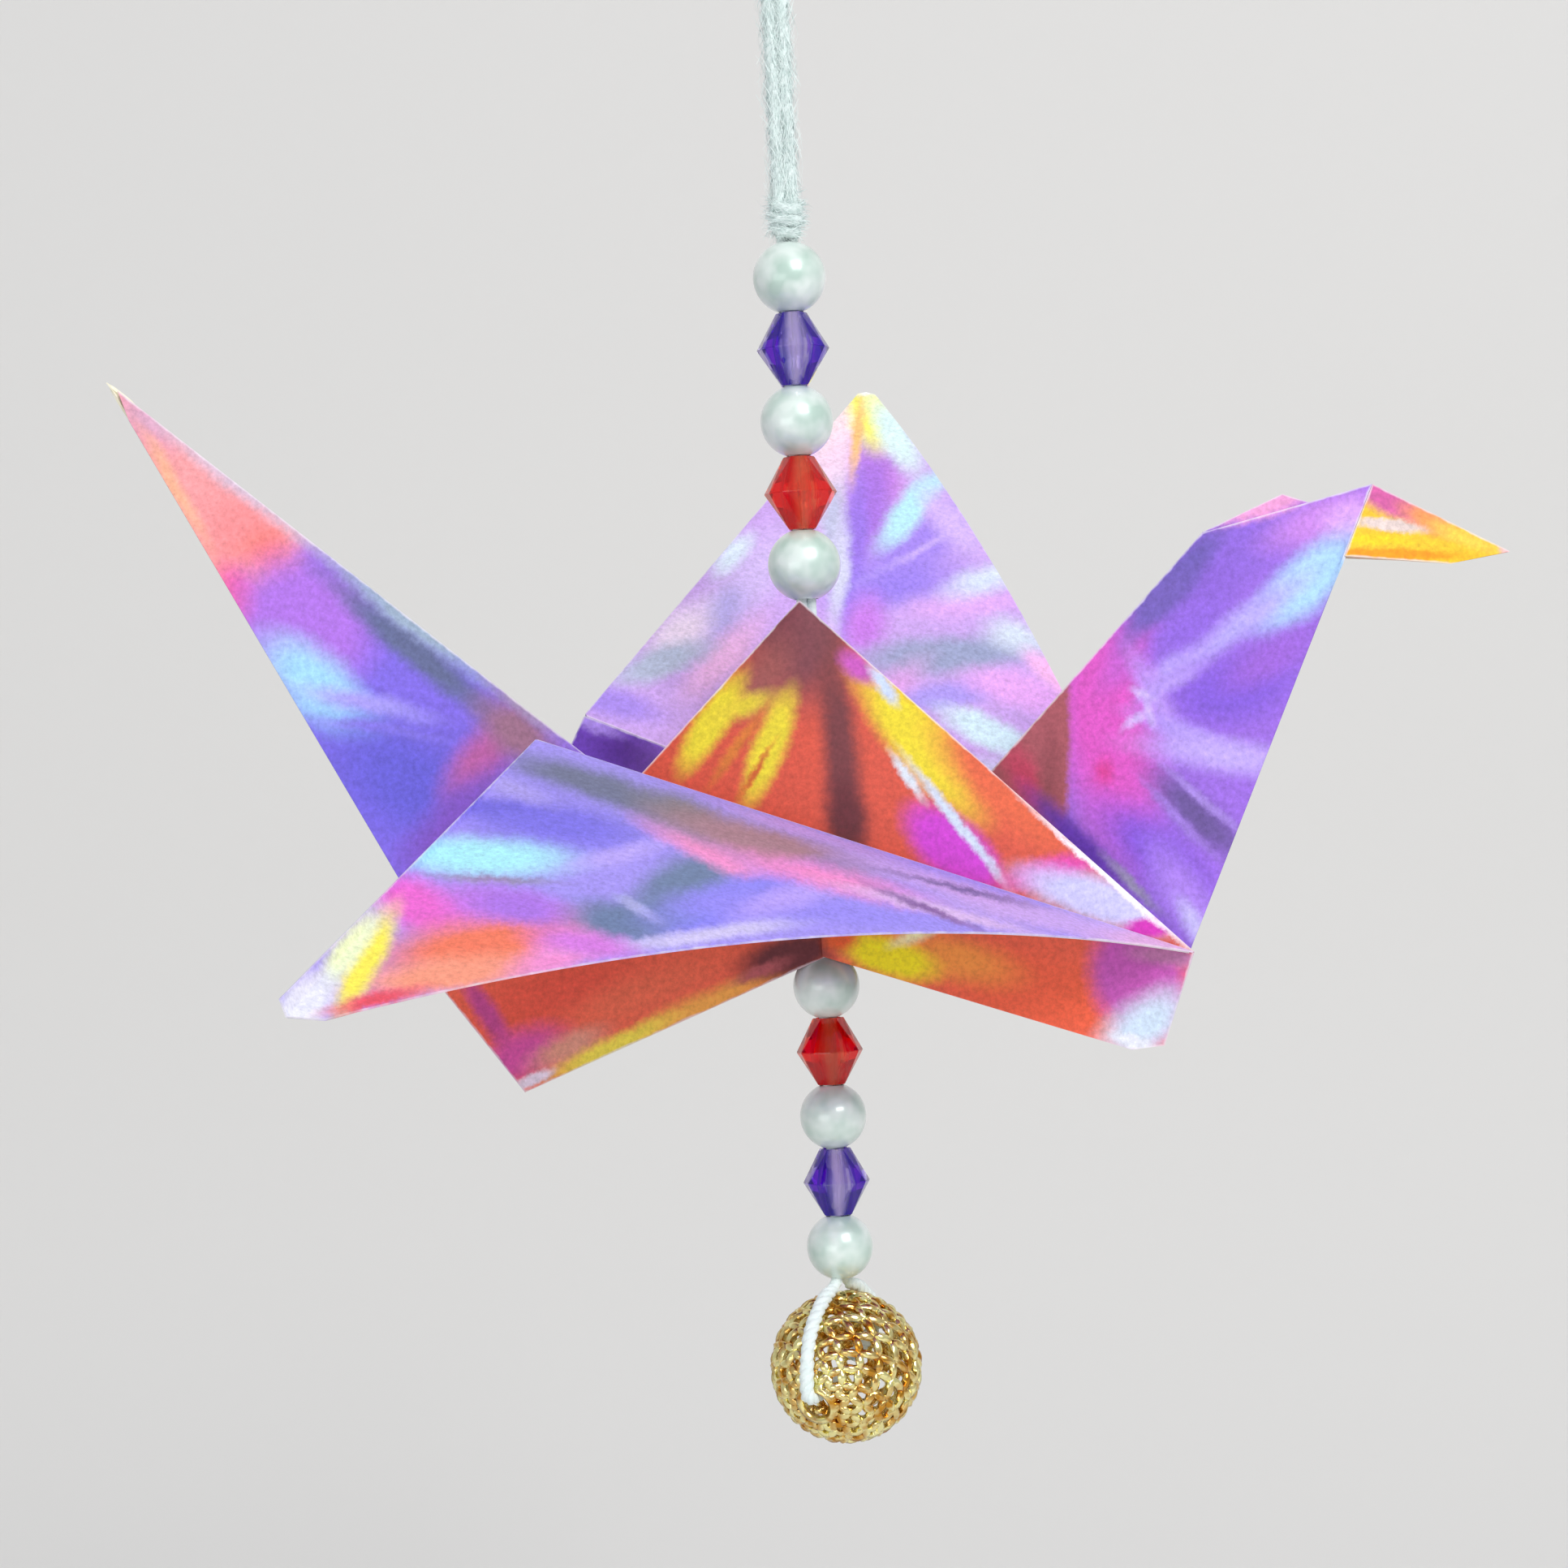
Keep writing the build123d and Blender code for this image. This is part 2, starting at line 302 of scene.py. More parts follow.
hump_dye = dye("dye_hump", (206, 80, 60), [
    (985, 775, 180, 130, 90, (120, 60, 70), 0.5),
    (940, 838, 90, 50, 120, (150, 80, 78), 0.8),
    (876, 893, 130, 38, 122, (222, 204, 48), 0.45),
    (948, 922, 140, 38, 112, (222, 204, 48), 0.45),
    (915, 872, 70, 24, 160, (218, 196, 52), 0.8),
    (908, 922, 100, 12, 126, (206, 116, 48), 0.7),
    (930, 952, 70, 8, 124, (200, 96, 40), 0.8),
    # This stroke and the next: a dark band down the middle of the hump, along its centre crease
    (1036, 925, 250, 42, 84, (112, 50, 56), 0.6),
    (1042, 1010, 90, 50, 85, (96, 34, 44), 0.6),
    (1137, 918, 215, 66, 50, (226, 206, 36), 0.4),
    (1238, 975, 200, 70, 42, (220, 96, 60), 0.6),
    (1172, 890, 150, 22, 40, (240, 206, 62), 0.7),
    (1174, 1048, 140, 70, 42, (196, 58, 196), 0.35),
    (1182, 1018, 175, 13, 52, (200, 212, 232), 0.6),
    (1118, 958, 60, 12, 56, (208, 216, 226), 0.7),
    (1293, 1076, 110, 34, 165, (216, 62, 170), 0.6),
    (1352, 1110, 190, 54, 18, (198, 196, 240), 0.45),
    (1422, 1143, 80, 26, 168, (206, 40, 178), 0.4),
    (1368, 1086, 230, 8, 41.6, (248, 242, 252), 0.7),
    (1058, 822, 50, 26, 45, (190, 80, 180), 0.6),
    (1088, 845, 50, 16, 58, (192, 206, 238), 0.6),
], warp=0.16)
wing_dye = dye("dye_front_wing", (162, 146, 238), [
    (735, 972, 225, 40, 19, (112, 116, 146), 0.55),
    (700, 992, 230, 30, 20, (150, 136, 228), 0.8),
    (640, 1002, 200, 24, 10, (104, 94, 208), 0.7),
    (620, 965, 120, 20, 25, (170, 156, 232), 0.8),
    (594, 1056, 205, 46, 2, (170, 236, 250), 0.6),
    (610, 1084, 120, 8, 3, (146, 136, 170), 0.95),
    (596, 1122, 180, 56, 8, (200, 118, 226), 0.6),
    (512, 1116, 110, 56, 25, (232, 102, 206), 0.6),
    (596, 1166, 250, 68, 172, (240, 120, 92), 0.55),
    (548, 1204, 220, 44, 172, (246, 152, 126), 0.6),
    (694, 1176, 110, 42, 160, (238, 140, 206), 0.7),
    (450, 1188, 140, 36, 118, (248, 232, 84), 0.5),
    (430, 1170, 110, 32, 125, (234, 244, 200), 0.6),
    (375, 1238, 90, 56, 130, (226, 226, 244), 0.45),
    (462, 1234, 110, 18, 168, (232, 80, 100), 0.7),
    (680, 1020, 210, 44, 9, (124, 113, 228), 0.75),
    (768, 1053, 110, 20, 167, (184, 164, 248), 0.85),
    (640, 1118, 120, 42, 12, (170, 114, 226), 0.6),
    (868, 1124, 170, 44, 165, (134, 128, 242), 0.75),
    (838, 1098, 140, 68, 152, (110, 128, 164), 0.5),
    (760, 1136, 104, 46, 10, (106, 124, 164), 0.6),
    (786, 1120, 52, 12, 28, (172, 172, 226), 0.8),
    (876, 1056, 150, 22, 26, (240, 146, 204), 0.8),
    (846, 1006, 120, 34, 22, (128, 122, 132), 0.7),
    (940, 1041, 250, 44, 14, (168, 126, 140), 0.6),
    (1000, 1030, 200, 12, 18, (190, 150, 224), 0.8),
    (912, 1100, 190, 34, 165, (142, 134, 242), 0.75),
    # painted highlight along the rolled lower edge, where it catches light
    (880, 1150, 260, 16, 172, (206, 196, 240), 0.8),
    (1010, 1124, 280, 34, 5, (152, 138, 242), 0.75),
    (974, 1108, 110, 24, 165, (184, 160, 250), 0.9),
    (1014, 1083, 230, 26, 14, (240, 140, 204), 0.85),
    (1190, 1102, 260, 20, 17, (206, 166, 238), 0.8),
    (1169, 1126, 220, 13, 14, (220, 188, 238), 0.8),
    (1203, 1102, 210, 7, 13.4, (124, 104, 166), 0.8),
    (1140, 1121, 130, 8, 22, (138, 100, 166), 0.85),
    (1310, 1137, 260, 26, 10, (204, 172, 240), 0.7),
    (1425, 1166, 130, 24, 10, (232, 182, 228), 0.7),
    (720, 1165, 120, 30, 8, (210, 120, 220), 0.7),
], warp=0.16)
back_dye = dye("dye_back_wing", (205, 167, 237), [
    (1036, 533, 110, 54, 115, (255, 226, 231), 0.5),
    (1028, 589, 110, 50, 108, (251, 215, 241), 0.6),
    (1084, 582, 80, 44, 60, (213, 136, 224), 0.6),
    (1074, 618, 150, 52, 98, (172, 117, 226), 0.7),
    (1052, 690, 190, 28, 95, (157, 119, 231), 0.6),
    (1073, 504, 96, 50, 76, (255, 251, 92), 0.5),
    (1058, 537, 90, 12, 95, (255, 199, 126), 0.8),
    (1102, 536, 96, 34, 57, (222, 247, 247), 0.6),
    (1070, 484, 26, 12, 0, (247, 251, 241), 0.5),
    (1139, 668, 170, 56, 148, (167, 136, 241), 0.6),
    (1124, 626, 120, 34, 130, (188, 236, 251), 0.5),
    (1174, 646, 90, 36, 50, (215, 184, 251), 0.7),
    (1111, 690, 140, 10, 150, (205, 176, 253), 0.8),
    (1104, 720, 150, 50, 168, (158, 130, 240), 0.75),
    (1068, 770, 70, 44, 100, (201, 125, 231), 0.7),
    (1196, 746, 140, 26, 175, (226, 173, 247), 0.7),
    (1214, 715, 90, 30, 162, (216, 226, 252), 0.8),
    (1172, 806, 220, 46, 176, (158, 166, 202), 0.55),
    (1252, 786, 70, 34, 20, (215, 226, 243), 0.8),
    (1166, 858, 150, 32, 170, (178, 157, 245), 0.6),
    (1252, 850, 130, 40, 15, (236, 173, 247), 0.6),
    (1226, 908, 140, 36, 25, (215, 242, 253), 0.5),
    (1293, 832, 70, 26, 42, (253, 190, 241), 0.6),
    (1028, 642, 90, 26, 98, (194, 194, 226), 0.7),
    (1034, 708, 110, 22, 95, (215, 215, 241), 0.7),
    (921, 716, 140, 60, 130, (215, 190, 247), 0.7),
    (902, 683, 60, 26, 130, (226, 238, 255), 0.7),
    (890, 755, 60, 34, 130, (192, 178, 241), 0.7),
    (838, 782, 90, 46, 135, (247, 226, 251), 0.7),
    (890, 812, 110, 36, 135, (247, 190, 241), 0.7),
    (815, 818, 120, 36, 160, (186, 194, 220), 0.6),
    (759, 868, 110, 34, 15, (171, 140, 235), 0.6),
    (960, 930, 240, 56, 150, (157, 138, 243), 0.7),
    (1090, 985, 280, 46, 168, (215, 240, 253), 0.7),
    (1060, 880, 160, 40, 140, (234, 167, 233), 0.7),
    (1210, 1010, 220, 50, 15, (144, 153, 206), 0.7),
    (1330, 1080, 220, 40, 30, (232, 157, 228), 0.7),
    (900, 900, 150, 30, 130, (226, 234, 253), 0.7),
])
# The back wing's root, seen in shade between the tail and the hump: its violet print is painted darker
# as painted shade
back_root_dye_and_shade = dye("dye_and_shade_back_root", (117, 69, 190), [
    # painted shadow where the root stands in that gap
    (785, 935, 90, 44, 25, (75, 21, 131), 0.7),
    (730, 890, 60, 16, 25, (178, 146, 237), 0.8),
    (960, 1000, 260, 110, 20, (167, 123, 231), 0.8),
    (1120, 1060, 280, 60, 16, (117, 157, 233), 0.8),
    (880, 1080, 240, 60, 170, (201, 96, 194), 0.7),
    (1300, 1120, 180, 44, 12, (159, 205, 245), 0.7),
])
neck_dye = dye("dye_neck", (153, 106, 219), [
    (1500, 690, 260, 90, 140, (138, 97, 211), 0.7),
    (1455, 706, 140, 34, 132, (104, 88, 173), 0.7),
    (1630, 642, 130, 46, 160, (194, 130, 224), 0.7),
    (1664, 640, 60, 40, 165, (215, 163, 241), 0.7),
    (1612, 716, 150, 60, 140, (172, 215, 251), 0.55),
    (1530, 765, 160, 32, 145, (178, 165, 243), 0.8),
    (1452, 814, 130, 24, 140, (180, 157, 241), 0.8),
    (1520, 850, 150, 76, 165, (130, 90, 214), 0.6),
    (1566, 812, 110, 44, 150, (153, 98, 212), 0.7),
    (1362, 890, 300, 112, 80, (215, 84, 190), 0.55),
    (1388, 812, 90, 40, 130, (194, 92, 200), 0.7),
    (1432, 742, 130, 34, 132, (113, 92, 180), 0.6),
    (1466, 772, 110, 40, 140, (142, 100, 218), 0.7),
    (1361, 950, 20, 28, 0, (213, 61, 149), 0.9),
    (1424, 862, 100, 26, 62, (180, 146, 235), 0.95),
    (1446, 840, 80, 18, 148, (178, 150, 237), 0.95),
    (1462, 904, 110, 20, 18, (173, 146, 237), 0.95),
    (1408, 857, 26, 10, 20, (205, 180, 243), 0.9),
    (1399, 889, 30, 10, 150, (205, 178, 241), 0.9),
    (1416, 880, 34, 10, 75, (199, 173, 241), 0.9),
    (1510, 932, 180, 36, 8, (190, 167, 243), 0.8),
    (1476, 1006, 140, 40, 42, (104, 82, 149), 0.7),
    (1480, 985, 110, 9, 40, (163, 134, 218), 0.95),
    (1455, 1012, 100, 9, 45, (157, 123, 216), 0.95),
    (1424, 1050, 150, 60, 40, (130, 84, 212), 0.7),
    (1462, 1110, 140, 50, 60, (171, 130, 233), 0.7),
    (1470, 1140, 60, 20, 60, (199, 188, 245), 0.8),
    (1218, 940, 600, 200, 92, (165, 84, 94), 0.06),
    (1264, 960, 90, 36, 60, (192, 63, 94), 0.8),
    (1294, 960, 110, 26, 92, (146, 73, 82), 0.8),
    (1330, 1040, 150, 30, 45, (100, 52, 173), 0.7),
    (1395, 1090, 80, 12, 44, (157, 146, 180), 0.8),
    (1562, 620, 150, 30, 164, (234, 157, 210), 0.5),
], warp=0.16)
head_dye = dye("dye_head", (238, 192, 36), [
    (1714, 618, 120, 34, 25, (204, 88, 156), 0.45),
    (1760, 640, 70, 26, 25, (236, 146, 88), 0.7),
    (1712, 647, 84, 15, 6, (220, 200, 196), 0.4),
    (1687, 665, 90, 13, 2, (240, 206, 18), 0.6),
    # an orange band, painted darker as the shade of a lower facet that the flat head doesn't have
    (1714, 683, 170, 13, 1, (246, 152, 8), 0.4),
    (1811, 664, 90, 18, 22, (255, 202, 70), 0.7),
    (1857, 679, 18, 10, 20, (240, 182, 182), 0.6),
], warp=0.1)
lower_dye = dye("dye_lower", (244, 105, 77), [
    (678, 1233, 220, 90, 165, (235, 89, 67), 0.6),
    (790, 1225, 180, 50, 158, (242, 111, 79), 0.7),
    (600, 1250, 110, 26, 58, (197, 72, 141), 0.6),
    (640, 1302, 110, 50, 155, (218, 82, 162), 0.6),
    (862, 1242, 220, 28, 155, (252, 177, 81), 0.7),
    (700, 1290, 90, 30, 155, (227, 154, 131), 0.7),
    (752, 1291, 150, 24, 155, (248, 227, 81), 0.6),
    (657, 1330, 50, 16, 155, (240, 222, 238), 0.5),
    # painted shade where the left flap turns in behind the right flap's raw edge at the notch
    (972, 1176, 120, 50, 165, (110, 52, 57), 0.5),
    (938, 1196, 60, 14, 155, (187, 95, 99), 0.8),
    (1269, 1222, 220, 100, 10, (246, 101, 67), 0.5),
    (1176, 1182, 140, 46, 14, (250, 152, 67), 0.7),
    (1096, 1180, 116, 44, 18, (250, 233, 24), 0.45),
    (1034, 1160, 40, 26, 0, (240, 99, 46), 0.6),
    (1126, 1156, 46, 14, 160, (255, 247, 192), 0.9),
    (1404, 1208, 150, 112, 75, (199, 89, 184), 0.3),
    (1441, 1180, 90, 26, 5, (187, 119, 168), 0.6),
    (1410, 1262, 112, 56, 148, (208, 227, 248), 0.65),
    (1396, 1284, 50, 16, 15, (231, 235, 248), 0.5),
], warp=0.2)

# The folded sheet

WALL = 0.26  # a wall's thickness, two plies
STEP = 1.3  # longest side of a small face
FAN_ROWS = 28
FIRST_ROW = 0.004  # a fan's first row stands off by this share, so that no face is empty
SHARP = 40  # degrees of turn from which an edge stays sharp
NO_FOLD = 99.0  # stands for the distance to an edge that isn't a fold
ALL_RAW = (False, False, False)


def fold_distances(point, folds):
    """How far a point is from up to three folds, each given by two of its points."""
    out = [NO_FOLD] * 3
    for k, (start, end) in enumerate(folds):
        along = (end - start).normalized()
        away = point - start
        out[k] = (away - along * away.dot(along)).length
    return out


class Sheet:
    """Walls of folded paper gathered into one piece."""

    def __init__(self, name):
        self.name = name
        self.points, self.faces, self.rims, self.zones, self.materials = [], [], [], [], []

    def zone(self, material):
        """The index of a material on this piece."""
        if material not in self.materials:
            self.materials.append(material)
        return self.materials.index(material)

    def wall(self, material, a, b, c, folds=(True, True, True), bulge=0.0, step=STEP):
        """A triangle of paper, slightly bellied. folds says which of ab, bc and ca is a fold."""
        normal = (b - a).cross(c - a)
        area, unit = normal.length, normal.normalized()
        heights = (area / (b - a).length, area / (c - b).length, area / (a - c).length)
        rows = max(2, math.ceil(max((b - a).length, (c - b).length, (a - c).length) / step))
        index = {}
        for i in range(rows + 1):
            for j in range(rows + 1 - i):
                s, t = i / rows, j / rows
                r = 1 - s - t
                belly = 27 * r * s * t * bulge  # the whole bulge in the middle, none at the edges
                index[i, j] = len(self.points)
                self.points.append(a * r + b * s + c * t + unit * belly)
                away = [share * height for share, height in zip((t, r, s), heights)]
                self.rims.append([value if fold else NO_FOLD for value, fold in zip(away, folds)])
        slot = self.zone(material)
        for i in range(rows):
            for j in range(rows - i):
                self.faces.append((index[i, j], index[i + 1, j], index[i, j + 1]))
                self.zones.append(slot)
                if i + j < rows - 1:
                    self.faces.append((index[i + 1, j], index[i + 1, j + 1], index[i, j + 1]))
                    self.zones.append(slot)

    def quad(self, material, a, b, c, d, folds):
        """Four corners in a plane, as one sheet. folds is up to three pairs of corners."""
        longest = max((b - a).length, (c - b).length, (d - c).length, (a - d).length)
        count = max(2, math.ceil(longest / STEP))
        rows = []
        for i in range(count + 1):
            left, right = a.lerp(d, i / count), b.lerp(c, i / count)
            rows.append([left.lerp(right, j / count) for j in range(count + 1)])
        self.folded_grid(material, rows, folds)

    def fan(self, material, top, edge, folds, bulge=0.0):
        """Straight rulings from a corner to the points of an edge, slightly bellied."""
        unit = (edge[0] - top).cross(edge[-1] - top).normalized()
        rows = []
        for i in range(FAN_ROWS + 1):
            t = max(i / FAN_ROWS, FIRST_ROW)
            row = []
            for j, far in enumerate(edge):
                belly = bulge * math.sin(math.pi * t) * math.sin(math.pi * j / (len(edge) - 1))
                row.append(top.lerp(far, t) + unit * belly)
            rows.append(row)
        self.folded_grid(material, rows, folds)

    def folded_grid(self, material, rows, folds):
        """A sheet over rows of points, pale along its folds with rubbing and painted highlight."""
        self.grid(material, rows, [[fold_distances(point, folds) for point in row] for row in rows])

    def grid(self, material, rows, rims):
        """A sheet over rows of points, with each point's distances to the folds."""
        start = len(self.points)
        across = len(rows[0])
        for row, rim_row in zip(rows, rims):
            self.points.extend(row)
            self.rims.extend(rim_row)
        slot = self.zone(material)
        for i in range(len(rows) - 1):
            for j in range(across - 1):
                k = start + i * across + j
                self.faces.append((k, k + 1, k + across + 1, k + across))
                self.zones.append(slot)

    def make(self, thickness=WALL, raw_rim=False):
        """Finish the piece: the print's places, the rubbed folds with their painted highlight, and the
        thickness.
        """
        made = mesh_object(self.name, self.points, self.faces, self.materials + [core], smooth=0)
        data = made.data
        data.polygons.foreach_set("material_index", self.zones)
        layer = data.uv_layers.new(name="front")
        places = [front_place(point) for point in self.points]
        for loop in data.loops:
            layer.data[loop.index].uv = places[loop.vertex_index]
        rim = data.attributes.new("rim", "FLOAT_VECTOR", "POINT")
        rim.data.foreach_set("vector", [value for row in self.rims for value in row])
        thick = made.modifiers.new("thickness", "SOLIDIFY")
        thick.thickness = thickness * MM
        thick.offset = 0
        thick.material_offset_rim = len(self.materials) if raw_rim else 0
        apply_modifiers(made)
        made.data.shade_smooth()
        made.data.set_sharp_from_angle(angle=math.radians(SHARP))
        return own(made, "dyed_paper", "paper_crane")


def pair(x, y, z):
    """A corner on the front side and its twin at the back."""
    return {-1: Vector((x, -y, z)), 1: Vector((x, y, z))}


hump_top = pair(-0.6, 1.3, -68.0)
tail_shoulder = pair(-31.67, 8.0, -99.07)
neck_shoulder = pair(30.47, 8.0, -99.07)
tail_turn = pair(-25.6, 6.0, -107.9)
neck_turn = pair(27.85, 5.81, -106.8)
neck_low = pair(26.9, 5.54, -106.8)
neck_cut = pair(25.15, 5.41, -107.05)
raw_tail = pair(0.25, 1.4, -98.1)
raw_neck = pair(-0.2, 1.7, -98.1)
tail_tuck = pair(0.25, 1.78, -93.5)
neck_tuck = pair(-0.2, 2.67, -93.5)
jaw = pair(45.5, 2.44, -66.7)
belly = pair(54.65, 0.73, -67.7)
for corner in (jaw, belly):
    corner[1].z += 0.2  # so that the far side of the head hides behind the near one
tail_foot = Vector((-2.8, 0, -94.5))
neck_foot = Vector((1.6, 0, -96.8))
tail_tip = Vector((-58.43, 0, -46.31))
nape = Vector((33.9, 0, -63.97))
crown = Vector((48.55, 0, -60.6))
beak_tip = Vector((59.9, 0, -66.9))
peak = Vector((41.1, 1.67, -60.95))  # the far wall stands up behind the fold at the nape
peak_tuck = Vector((46.31, 0.3, -63.03))  # and runs in behind the near wall here

HEM_RISE = 3.9  # the crease under the hump rolls up this far in its middle
HEM_STEPS = 30
HUMP_BULGE = 0.9
SPINE_STEPS = 30  # rulings of the neck from its foot to the nape
CROWN_STEPS = 10  # and from there to the crown
NECK_ACROSS = 14
FRONT_TEAR = (1.2, 3.8)  # how far the tail's front wall ends short of the tip, above and below
PALE_END = (3.0, 4.2)  # and how far the print does on its back wall, where the inside is bare


def hem(side):
    """The rolled crease under the hump, from the tail's shoulder to the neck's."""
    out = []
    for i in range(HEM_STEPS + 1):
        t = i / HEM_STEPS
        rise = Vector((0, 0, 4 * HEM_RISE * t * (1 - t)))
        out.append(tail_shoulder[side].lerp(neck_shoulder[side], t) + rise)
    return out


def stepped(start, end, count):
    """Places from one point to another, without the last."""
    return [start.lerp(end, i / count) for i in range(count)]


def body_side(sheet, side):
    """The hump, the walls of the two pockets behind it, and the flaps below them."""
    top, tail_end, neck_end = hump_top[side], tail_shoulder[side], neck_shoulder[side]
    sheet.fan(hump_dye, top, hem(side), [(top, tail_end), (top, neck_end)], -side * HUMP_BULGE)
    sheet.wall(tail_dye, top, tail_end, tail_foot)
    sheet.wall(neck_dye, top, neck_end, neck_foot)
    sheet.wall(tail_dye, tail_end, tail_turn[side], tail_foot)
    sheet.quad(neck_dye, neck_foot, neck_end, neck_turn[side], neck_cut[side], [])
    sheet.wall(lower_dye, tail_end, tail_turn[side], raw_tail[side], (True, True, False))
    sheet.wall(lower_dye, tail_tuck[side], tail_end, raw_tail[side], ALL_RAW)
    sheet.wall(lower_dye, neck_tuck[side], neck_end, raw_neck[side], ALL_RAW)
    folds = [(neck_end, neck_turn[side]), (neck_turn[side], neck_cut[side])]
    sheet.quad(lower_dye, raw_neck[side], neck_end, neck_turn[side], neck_cut[side], folds)


def neck_side(sheet, side):
    """One wall of the neck, and the head that is folded down from it."""
    spine = stepped(neck_foot, nape, SPINE_STEPS) + stepped(nape, crown, CROWN_STEPS) + [crown]
    edge = stepped(neck_low[side], jaw[side], SPINE_STEPS + CROWN_STEPS) + [jaw[side]]
    rows = [stepped(start, end, NECK_ACROSS) + [end] for start, end in zip(spine, edge)]
    sheet.folded_grid(neck_dye, rows, [(neck_foot, nape), (crown, jaw[side]), (nape, crown)])
    sheet.wall(neck_dye, neck_foot, neck_low[side], neck_cut[side], ALL_RAW)
    folds = [(crown, jaw[side]), (crown, beak_tip), (jaw[side], belly[side])]
    sheet.quad(head_dye, crown, jaw[side], belly[side], beak_tip, folds)


def tail_side(sheet, side, top_short, low_short):
    """One wall of the tail, which ends short of the tip. Gives the two corners of that end."""
    top = tail_tip + (tail_foot - tail_tip).normalized() * top_short
    low = tail_tip + (tail_turn[side] - tail_tip).normalized() * low_short
    sheet.quad(tail_dye, tail_foot, tail_turn[side], low, top, [(tail_foot, tail_tip)])
    return top, low


body = Sheet("crane_body")
tail = Sheet("crane_tail")
neck = Sheet("crane_neck")
for side in (-1, 1):
    body_side(body, side)
    neck_side(neck, side)
body.wall(hump_dye, hump_top[-1], hump_top[1], tail_foot)
body.wall(hump_dye, hump_top[-1], hump_top[1], neck_foot)
neck.wall(neck_dye, nape, peak, peak_tuck)

# The tail's front wall is torn off just short of the tip, and shows the pale inside behind it
tail_side(tail, -1, *FRONT_TEAR)
pale_top, pale_low = tail_side(tail, 1, *PALE_END)
tail.wall(cream, pale_top, pale_low, tail_tip, ALL_RAW, bulge=0.5, step=0.4)
body.make()
tail.make()
neck.make()

# The wings: one whole ply, with two strips under it whose raw edges meet along a seam

PETAL = 0.15  # the whole ply's thickness
STRIP = 0.12  # a strip's thickness
STRIP_LIFT = 0.17  # from the middle of the ply down to the middle of a strip
STRIP_INSET = 0.25  # a strip ends this far inside the far edge
SEAM_GAP = 0.22  # from the seam to each strip's raw edge
SEAM_FOOT = 0.42  # where the seam starts, from the wing's shoulder to the neck's
CRISP_EDGE = 0.06  # added to a place's distance from the short edge, for lighter rubbing and painted highlight
ROLLED_EDGE = 0.08  # and from the rolled far one
WING_ROWS = 36
FAR_STEPS = 60


def arc(start, middle, end, count):
    """Points on the circle through three places, evenly set."""
    chord = end - start
    x_dir = chord.normalized()
    rise = middle - (start + end) / 2
    sag, z_dir = rise.length, rise.normalized()
    radius = (chord.length**2 / 4 + sag**2) / (2 * sag)
    centre = (start + end) / 2 - z_dir * (radius - sag)
    half = math.asin(chord.length / 2 / radius)
    out = []
    for i in range(count + 1):
        angle = -half + 2 * half * i / count
        out.append(centre + x_dir * radius * math.sin(angle) + z_dir * radius * math.cos(angle))
    return out


def seam_shares(top, edge, lift, foot, tip):
    """Where the seam crosses each ruling, as a share of the way from the top to the far edge."""
    seam = foot - tip
    out = []
    for far in edge:
        ruling = far - top
        flat = ruling - lift * ruling.dot(lift)
        wide = flat.cross(seam).dot(lift)
        share = (tip - top).cross(seam).dot(lift) / wide if abs(wide) > 1e-6 else 1.0
        out.append(min(1.0, max(0.0, share)))
    return out


def strip_row(top, edge, shares, inner, t):
    """The places a share t of the way across the inner or the outer strip."""
    out = []
    for far, share in zip(edge, shares):
        length = (far - top).length
        gap = SEAM_GAP / length
        start, end = (0, share - gap) if inner else (share + gap, 1)
        at = max(FIRST_ROW, start + (end - start) * t)
        out.append(top.lerp(far, min(1 - STRIP_INSET / length, at)))
    return out


def wing(name, material, root_material, side, shoulder, tips, bow):
    """A standing root against the hump, and the long triangle that folds away from it.

    tips are the three corners of its blunt tip, the short edge's first. bow is how far its far
    edge rolls up.
    """
    sheet, strips = Sheet(name), Sheet(name + "_strips")
    tail_end, neck_end = tail_shoulder[side], neck_shoulder[side]
    top = Vector(shoulder)
    inner, blunt, outer = [Vector(tip) for tip in tips]
    across = (neck_end - outer).cross(top - outer).normalized()
    lift = across if across.z > 0 else -across
    edge = [inner, blunt] + arc(outer, (outer + neck_end) / 2 + lift * bow, neck_end, FAR_STEPS)

    rows, rims = [], []
    for i in range(WING_ROWS + 1):
        row = [top.lerp(far, max(i / WING_ROWS, FIRST_ROW)) for far in edge]
        rim_row = []
        for far, point in zip(edge, row):
            near = fold_distances(point, [(top, neck_end), (top, inner)])
            near[1] += CRISP_EDGE
            near[2] = (far - point).length + ROLLED_EDGE
            rim_row.append(near)
        rows.append(row)
        rims.append(rim_row)
    sheet.grid(material, rows, rims)
    sheet.fan(root_material, top, hem(side), [(tail_end, top), (top, neck_end)])

    shares = seam_shares(top, edge, lift, top.lerp(neck_end, SEAM_FOOT), (inner + outer) / 2)
    count = WING_ROWS // 2
    for inner_strip in (True, False):
        rows = [strip_row(top, edge, shares, inner_strip, i / count) for i in range(count + 1)]
        rows = [[place - lift * STRIP_LIFT for place in row] for row in rows]
        strips.folded_grid(material, rows, [])
    sheet.make(PETAL)
    strips.make(STRIP, raw_rim=True)


wing(
    "front_wing",
    wing_dye,
    lower_dye,
    side=-1,
    shoulder=(-22.9, -10.0, -78.7),
    tips=[(-38.6, -54.0, -96.5), (-38.2, -54.0, -97.8), (-35.7, -53.0, -98.2)],
    bow=4.3,
)
wing(
    "back_wing",
    back_dye,
    back_root_dye_and_shade,
    side=1,
    shoulder=(-19.9, 10.0, -76.5),
    tips=[(6.7, 51.5, -45.0), (7.5, 51.5, -44.9), (8.4, 51.5, -45.2)],
    bow=3.8,
)

# The yarn

